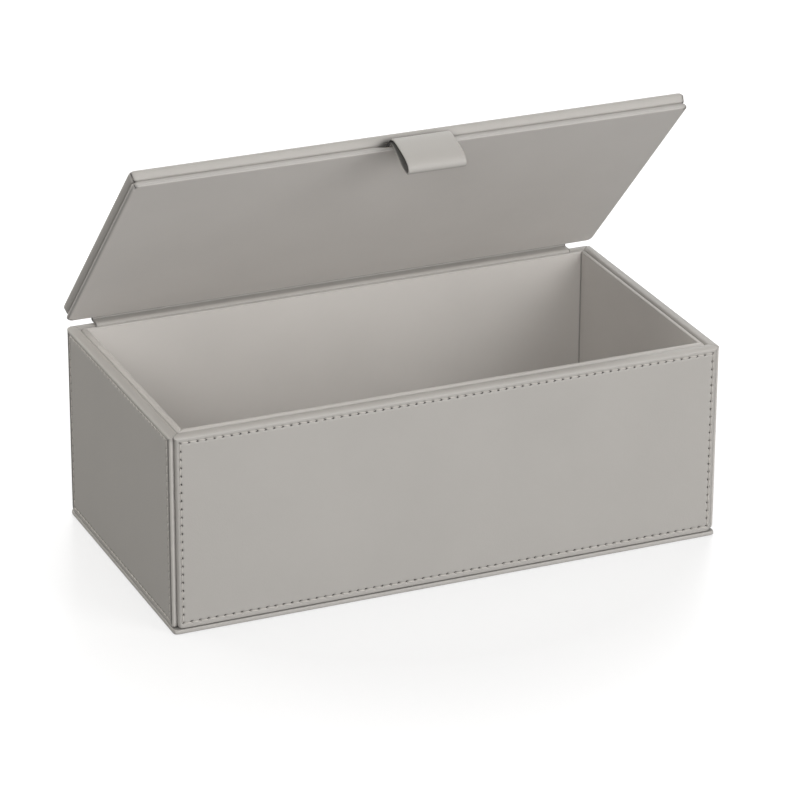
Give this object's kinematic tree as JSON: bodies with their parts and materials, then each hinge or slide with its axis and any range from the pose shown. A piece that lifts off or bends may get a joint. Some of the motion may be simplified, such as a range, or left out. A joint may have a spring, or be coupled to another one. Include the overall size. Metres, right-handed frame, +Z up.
{
  "type": "stationery box",
  "caption": "Oblong leather-covered stationery box with double-panel stitched walls, a lined interior and a lid on a leather strip hinge, opened by a folded leather tab.",
  "frame": {"origin": "middle of the underside, on the surface the box stands on", "axes": "+X to the right along the long front, +Y towards the hinged rear, +Z up"},
  "size_m": [0.27, 0.1433, 0.2053],
  "materials": {
    "outer_leather": "smooth satin, warm light grey",
    "lining_leather": "smooth matt, warm light grey",
    "strip_leather": "smooth satin, warm light grey",
    "board": "plain grey board"
  },
  "bodies": {
    "box": {"front_outer_cover": "outer_leather", "front_outer_board": "board", "front_lining_cover": "lining_leather", "front_lining_board": "board", "right_outer_cover": "outer_leather", "right_outer_board": "board", "right_lining_cover": "lining_leather", "right_lining_board": "board", "rear_outer_cover": "outer_leather", "rear_outer_board": "board", "rear_lining_cover": "lining_leather", "rear_lining_board": "board", "left_outer_cover": "outer_leather", "left_outer_board": "board", "left_lining_cover": "lining_leather", "left_lining_board": "board", "base_cover": "outer_leather", "base_board": "board", "floor_lining_cover": "lining_leather", "floor_lining_board": "board", "hinge_strip": "strip_leather"},
    "lid": {"lid_outer_cover": "outer_leather", "lid_outer_board": "board", "lid_lining_cover": "lining_leather", "lid_lining_board": "board", "pull_tab": "strip_leather"}
  },
  "joints": [
    {"name": "lid_hinge", "type": "hinge", "parent": "box", "child": "lid", "pos_m": [0, 0.07045, 0.09985], "axis": [-1, 0, 0], "range_deg": [-46.35, 134], "deforming": ["hinge_strip"]}
  ]
}
